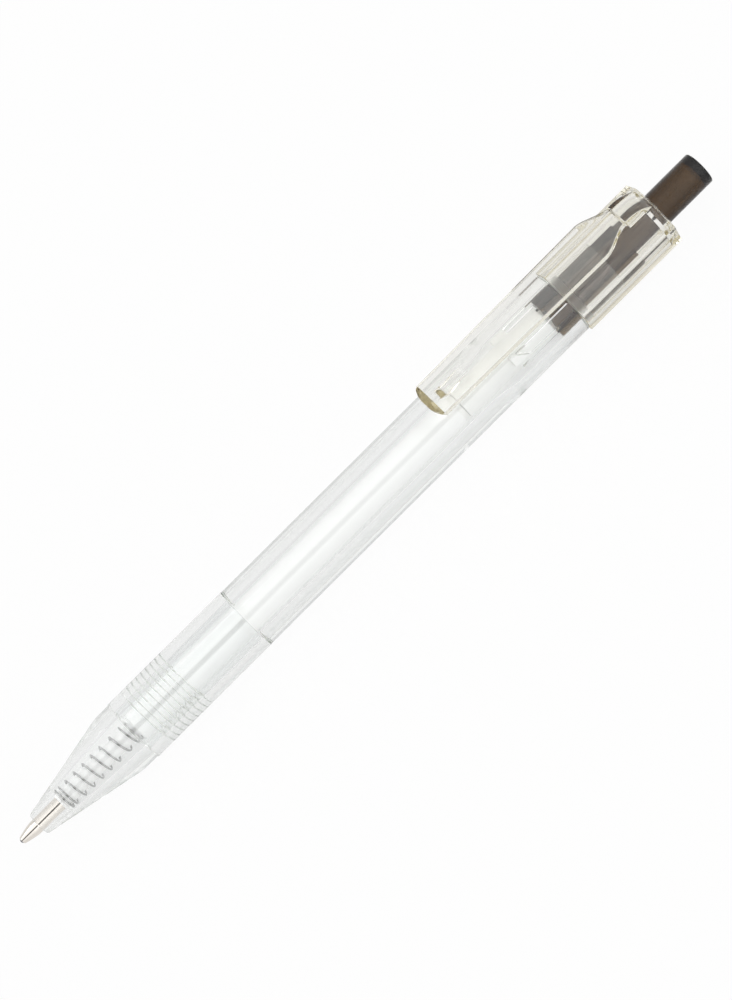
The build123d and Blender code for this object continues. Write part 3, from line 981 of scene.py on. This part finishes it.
class PEN_OT_cap(bpy.types.Operator):
    """Build the clear eight-sided cap with its clip"""

    bl_idname = "pen.cap"
    bl_label = "Cap with clip"

    def execute(self, context):
        scene = context.scene
        cap = scene.pen_cap
        clip_end, cap_end = reach("clip_cap")
        cap_start = cap_end - cap.body + PART_GAP
        cavity_end = cap_end - cap.end_wall
        apothem = cap.flats / 2
        tiny = 0.04 * MM
        outline = rounded([
            (cap_start, cap.cavity / 2, tiny),
            (cap_start, apothem, cap.edge),
            (cap_end, apothem, cap.edge),
            (cap_end, cap.hole / 2, 2 * tiny),
            (cavity_end, cap.hole / 2, tiny),
            (cavity_end, cap.cavity / 2 - cap.cavity_chamfer, tiny),
            (cavity_end - cap.cavity_chamfer, cap.cavity / 2, tiny),
        ])

        def faceted(station, radius, turn):
            if radius < cap.cavity / 2 + cap.edge:
                return radius
            return facet_reach(turn, radius, cap.corner, cap.sides)

        turns = facet_turns(apothem, cap.corner, cap.sides)
        piece = lathe("clear_cap", outline, turns, faceted)
        combine(piece, clip_mesh(cap, cap_start, cap_end, clip_end), "UNION")
        combine(piece, nub_mesh(cap, clip_end), "UNION")
        colours = scene.pen_colours
        material = clear_plastic("clear cap", colours.straw, colours.straw_tint, STRAW_DENSITY)
        finish_piece(piece, "casing", "clip_cap", material)
        weigh_normals(piece)
        return {"FINISHED"}


class PEN_OT_button(bpy.types.Operator):
    """Build the smoked push button with its guide wings"""

    bl_idname = "pen.button"
    bl_label = "Push button"

    def execute(self, context):
        scene = context.scene
        button = scene.pen_button
        barrel = scene.pen_barrel
        start, end = reach("push_button")
        wing_end = start + button.wing_length
        bore = button.diameter / 2 - button.wall
        bore_end = end - button.end_wall
        tiny = 0.05 * MM
        outline = rounded([
            (start, bore, tiny),
            (start, button.diameter / 2, tiny),
            (end, button.diameter / 2, button.edge),
            (end, 0, 0),
            (bore_end, 0, 0),
            (bore_end, bore, 4 * tiny),
        ])
        pole = next(index for index, point in enumerate(outline) if point.y == 0)
        inside = outline[pole + 1 :] + outline[:pole + 1]
        piece = lathe("smoked_button", inside)
        half = button.wing_width / 2
        front = start + tiny
        corners = [(front, half), (wing_end, half), (wing_end, -half), (front, -half)]
        foot = button.diameter / 2 - button.wall / 2
        rim = sqrt((button.wing / 2) ** 2 - half**2)
        between = barrel.rib_angle + pi / barrel.rib_count
        for turn in evenly(barrel.rib_count):
            wing = block("wing", corners, foot, rim, between + turn)
            combine(piece, wing, "UNION")
        over = 0.1 * MM
        tooth = button.diameter / 2 * sin(pi / button.teeth) * button.tooth_share
        slope = button.tooth_depth / (2 * tooth)
        open_end = start - over
        deep = start + button.tooth_depth
        gap = [(open_end, tooth), (deep, tooth), (open_end, -tooth - over / slope)]
        for turn in evenly(button.teeth):
            cutter = block("tooth", gap, over, button.diameter / 2, barrel.rib_angle + turn)
            combine(piece, cutter, "DIFFERENCE")
        colours = scene.pen_colours
        tint = colours.smoke_tint
        material = smoked_plastic("smoked plastic", colours.smoke, tint, SMOKE_DENSITY)
        finish_piece(piece, "button", "push_button", material)
        weigh_normals(piece)
        return {"FINISHED"}


class PEN_OT_cam(bpy.types.Operator):
    """Build the pale cam with its slanted fins"""

    bl_idname = "pen.cam"
    bl_label = "Cam"

    def execute(self, context):
        scene = context.scene
        cam = scene.pen_cam
        barrel = scene.pen_barrel
        start, end = reach("cam_rotor")
        fin_start = start + cam.stem_length
        crown_end = end - cam.pilot_length
        outline = rounded([
            (start, 0, 0),
            (start, cam.stem / 2, cam.edge / 4),
            (fin_start, cam.stem / 2, cam.edge / 2),
            (fin_start, cam.crown / 2, 0),
            (crown_end, cam.crown / 2, cam.edge),
            (crown_end, cam.pilot / 2, 0),
            (end, cam.pilot / 2, 3 * cam.edge),
            (end, 0, 0),
        ])
        piece = lathe("pale_cam", outline)
        half = cam.fin_width / 2
        top = fin_start + cam.fin_height
        slant = barrel.rib_slant / barrel.rib_width * cam.fin_width
        corners = [(fin_start, half), (top, half), (top + slant, -half), (fin_start, -half)]
        for turn in evenly(barrel.rib_count):
            fin = block("fin", corners, cam.pilot / 4, cam.fin / 2, barrel.rib_angle + turn)
            combine(piece, fin, "UNION")
        material = white_plastic("pale cam", scene.pen_colours.cam, lines=300)
        finish_piece(piece, "cam", "cam_rotor", material)
        weigh_normals(piece)
        return {"FINISHED"}


class PEN_OT_refill(bpy.types.Operator):
    """Build the white refill and finish the plug and the ink inside it"""

    bl_idname = "pen.refill"
    bl_label = "Refill"

    def execute(self, context):
        scene = context.scene
        refill = scene.pen_refill
        colours = scene.pen_colours
        start, end = reach("refill_tube")
        shoulder = start + refill.neck_length
        bore = refill.body / 2 - refill.wall
        tiny = 0.06 * MM
        outline = rounded([
            (start, refill.tail / 2, 0),
            (start, refill.neck / 2, tiny),
            (shoulder, refill.neck / 2, tiny),
            (shoulder, refill.body / 2 - refill.edge, tiny),
            (shoulder + refill.edge, refill.body / 2, tiny),
            (end, refill.body / 2, tiny),
            (end, bore, tiny),
            (shoulder + refill.wall, bore, tiny),
            (shoulder + refill.wall, refill.tail / 2, 0),
        ])
        piece = lathe("white_refill", outline)
        material = white_plastic("white refill", colours.white, lines=900)
        finish_piece(piece, "refill", "refill_tube", material)
        for node, material in (
            ("refill_plug", white_plastic("white plug", colours.cam, lines=300)),
            ("ink_column", dark_ink("dark ink", colours.ink)),
        ):
            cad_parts[node].data.materials.clear()
            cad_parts[node].data.materials.append(material)
        return {"FINISHED"}


class PEN_OT_tip(bpy.types.Operator):
    """Build the turned tip and its writing ball"""

    bl_idname = "pen.tip"
    bl_label = "Tip and ball"

    def execute(self, context):
        scene = context.scene
        refill = scene.pen_refill
        colours = scene.pen_colours
        lip, tail_end = reach("refill_tip")
        ball = reach("tip_ball")[1] / 2
        socket = ball + refill.socket
        cone_end = lip + refill.cone
        tiny = 0.04 * MM
        lip_radius = sqrt(socket**2 - (ball - lip) ** 2)
        duct = refill.duct / 2
        steps = 12
        outline = []
        for step in range(steps + 1):
            share = step / steps
            radius = refill.lip / 2 + (refill.tip - refill.lip) / 2 * share
            bulge = 4 * refill.bulge * share * (1 - share)
            outline.append(Vector((lip + refill.cone * share, radius + bulge)))
        outline += [
            Vector((cone_end + HOLD, refill.tip / 2)),
            Vector((refill.tip_length - tiny, refill.tip / 2)),
            Vector((refill.tip_length, refill.tip / 2 - tiny)),
            Vector((refill.tip_length, refill.tail / 2)),
            Vector((tail_end - 2 * tiny, refill.tail / 2)),
            Vector((tail_end, refill.tail / 2 - 2 * tiny)),
            Vector((tail_end, duct)),
        ]
        deep = ball + sqrt(socket**2 - duct**2)
        outline.append(Vector((deep, duct)))
        centre = Vector((ball, 0))
        outline += arc_between(centre, Vector((deep, duct)), Vector((lip, lip_radius)), steps)[1:]
        piece = lathe("turned_tip", outline)
        material = turned_metal("nickel silver", colours.nickel, rings=9000, roughness=0.05)
        finish_piece(piece, "refill", "refill_tip", material)
        rows = BALL_COLUMNS // 2
        bends = [pi * row / rows for row in range(rows)]
        circle = [Vector((ball - ball * cos(bend), ball * sin(bend))) for bend in bends]
        circle.append(Vector((2 * ball, 0)))
        piece = lathe("writing_ball", circle, evenly(BALL_COLUMNS))
        material = turned_metal("carbide", colours.carbide, rings=2000, roughness=0.12)
        finish_piece(piece, "ball", "tip_ball", material)
        return {"FINISHED"}


class PEN_OT_spring(bpy.types.Operator):
    """Wind the return spring between the nose and the refill"""

    bl_idname = "pen.spring"
    bl_label = "Return spring"

    def execute(self, context):
        scene = context.scene
        spring = scene.pen_spring
        first, last = reach("spring")
        wire = spring.wire / 2
        radius = spring.diameter / 2 - wire
        start = first + wire
        rise = last - wire - start
        closed = spring.end_turns * spring.end_pitch
        turns = spring.open_turns + 2 * spring.end_turns
        open_pitch = (rise - 2 * closed) / spring.open_turns
        steps = 48

        def climb(turn):
            if turn < spring.end_turns:
                return turn * spring.end_pitch
            if turn > turns - spring.end_turns:
                return rise - (turns - turn) * spring.end_pitch
            return closed + (turn - spring.end_turns) * open_pitch

        count = round(turns * steps)
        centres = []
        for step in range(count + 1):
            turn = step / steps
            centres.append(pen_point(start + climb(turn), radius, TURN * step / steps))
        sides = 14
        rings = []
        for index, centre in enumerate(centres):
            along = (centres[min(index + 1, count)] - centres[max(index - 1, 0)]).normalized()
            turn = TURN * index / steps
            out = Vector((0, cos(turn), sin(turn)))
            out = (out - along * out.dot(along)).normalized()
            beside = along.cross(out)
            spokes = [out * cos(way) + beside * sin(way) for way in evenly(sides)]
            rings.append([centre + spoke * wire for spoke in spokes])
        rings.insert(0, [centres[0]])
        rings.append([centres[-1]])
        piece = place_mesh("return_spring", ring_mesh("return_spring", rings, closed=False))
        steel = scene.pen_colours.steel
        material = turned_metal("spring steel", steel, rings=3000, roughness=0.06)
        finish_piece(piece, None, "spring", material)
        low = pen_point(first + closed, 0, 0)
        high = pen_point(last - closed, 0, 0)
        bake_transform(piece)
        return {"FINISHED"}


# Stage

class PEN_OT_stage(bpy.types.Operator):
    """Set up the camera, the pale floor and the soft light"""

    bl_idname = "pen.stage"
    bl_label = "Stage"

    def execute(self, context):
        scene = context.scene
        stage = scene.pen_stage
        self.set_camera(scene, stage)
        self.lay_floor(stage)
        self.light_world(scene, stage)
        self.hang_lamps(scene)
        scene.view_settings.view_transform = "Standard"
        scene.cycles.max_bounces = LIGHT_BOUNCES
        scene.cycles.transmission_bounces = LIGHT_BOUNCES
        scene.cycles.glossy_bounces = LIGHT_BOUNCES
        scene.cycles.blur_glossy = 0.0
        return {"FINISHED"}

    def set_camera(self, scene, stage):
        """Camera square to the pen, rolled so that the pen lies across the picture."""
        back = Vector((0, -cos(stage.elevation), sin(stage.elevation)))
        level_up = Vector((0, sin(stage.elevation), cos(stage.elevation)))
        level_right = Vector((1, 0, 0))
        right = level_right * cos(stage.roll) - level_up * sin(stage.roll)
        up = level_right * sin(stage.roll) + level_up * cos(stage.roll)
        place = pen_point(stage.aim, 0, 0) + back * stage.distance
        place += right * stage.shift_right + up * stage.shift_up
        camera = bpy.data.objects.new("camera", bpy.data.cameras.new("camera"))
        scene.collection.objects.link(camera)
        camera.matrix_world = Matrix((
            (right.x, up.x, back.x, place.x),
            (right.y, up.y, back.y, place.y),
            (right.z, up.z, back.z, place.z),
            (0, 0, 0, 1),
        ))
        camera.data.sensor_width = SENSOR_WIDTH
        camera.data.lens = SENSOR_WIDTH * stage.distance / stage.span
        scene.camera = camera

    def lay_floor(self, stage):
        """Pale floor that shows nearly white and keeps the pen's shadow."""
        mesh = bpy.data.meshes.new("floor")
        builder = bmesh.new()
        bmesh.ops.create_circle(builder, cap_ends=True, segments=96, radius=stage.floor)
        builder.to_mesh(mesh)
        builder.free()
        floor = place_mesh("floor", mesh)
        floor.location.z = CAD_BOX[0].z - stage.floor_gap
        material, finish = new_finish("pale floor")
        names = ("Is Camera Ray", "Is Glossy Ray", "Is Transmission Ray")
        camera, glossy, through = [finish.node("ShaderNodeLightPath", output=name) for name in names]
        glass = glossy.math("MAXIMUM", glossy, through)
        cloud = finish.noise(finish.place(), scale=3.0)
        paper = finish.node("ShaderNodeBsdfDiffuse", None, {
            "Color": finish.mix(cloud, opaque(stage.paper), shaded(stage.paper, share=1.02)),
        })
        white = finish.node("ShaderNodeEmission", None, {"Color": PLAIN_WHITE, "Strength": 1.0})
        share = camera * stage.floor_white + glass * (1 - camera) * stage.floor_glass
        finish.close(finish.node("ShaderNodeMixShader", None, {0: share, 1: paper, 2: white}))
        mesh.materials.append(material)

    def light_world(self, scene, stage):
        """Light from all round, brightest on the camera's side, with a dark gap along the pen."""
        world = bpy.data.worlds.new("studio")
        scene.world = world
        world.use_nodes = True
        finish = Finish(world.node_tree)
        way = finish.node("ShaderNodeTexCoord", output="Generated")
        towards = finish.dot(way, (0, -cos(stage.elevation), sin(stage.elevation)))
        near = towards.math("MAXIMUM", towards, 0.0)
        across = finish.dot(way, (0, sin(stage.elevation), cos(stage.elevation)))
        aside = across.math("ABSOLUTE", across, 0.0)
        soft = {"interpolation_type": "SMOOTHSTEP"}
        edges = {"Value": aside, 1: sin(stage.gap / 2), 2: sin(stage.gap), 3: stage.shade, 4: 1.0}
        gap = finish.node("ShaderNodeMapRange", soft, edges)
        level = (stage.horizon + (stage.zenith - stage.horizon) * near**2) * gap
        seen = finish.node("ShaderNodeLightPath", output="Is Camera Ray")
        strength = level * (1 - seen) + seen
        light = finish.node("ShaderNodeBackground", None, {"Color": PLAIN_WHITE, "Strength": strength})
        finish.node("ShaderNodeOutputWorld", None, {"Surface": light})

    def hang_lamps(self, scene):
        """Two large soft lamps, one on each side of the pen."""
        for name, place, watts in LAMPS:
            lamp = bpy.data.lights.new(name, "AREA")
            lamp.energy = watts
            lamp.size = LAMP_SIZE
            holder = bpy.data.objects.new(name, lamp)
            scene.collection.objects.link(holder)
            holder.location = place
            holder.rotation_mode = "QUATERNION"
            holder.rotation_quaternion = (-Vector(place)).to_track_quat("-Z", "Y")


PIECES = ("nose", "barrel", "cap", "button", "cam", "refill", "tip", "spring", "stage")


class PEN_PT_builder(bpy.types.Panel):
    """Lists the pen's pieces"""

    bl_label = "Clear click pen"
    bl_space_type = "VIEW_3D"
    bl_region_type = "UI"
    bl_category = "Pen"

    def draw(self, context):
        for name in PIECES:
            self.layout.operator("pen." + name)


SETTINGS = {
    "pen_screw": ScrewSizes,
    "pen_nose": NoseSizes,
    "pen_barrel": BarrelSizes,
    "pen_cap": CapSizes,
    "pen_button": ButtonSizes,
    "pen_cam": CamSizes,
    "pen_refill": RefillSizes,
    "pen_spring": SpringSizes,
    "pen_colours": FinishColours,
    "pen_stage": StageSizes,
}
CLASSES = (
    *SETTINGS.values(),
    PEN_OT_nose,
    PEN_OT_barrel,
    PEN_OT_cap,
    PEN_OT_button,
    PEN_OT_cam,
    PEN_OT_refill,
    PEN_OT_tip,
    PEN_OT_spring,
    PEN_OT_stage,
    PEN_PT_builder,
)


def register():
    for made in CLASSES:
        bpy.utils.register_class(made)
    for name, group in SETTINGS.items():
        setattr(bpy.types.Scene, name, PointerProperty(type=group))


def unregister():
    for name in SETTINGS:
        delattr(bpy.types.Scene, name)
    for made in reversed(CLASSES):
        bpy.utils.unregister_class(made)


def main():
    register()
    for name in PIECES:
        getattr(bpy.ops.pen, name)()


if __name__ == "__main__":
    main()
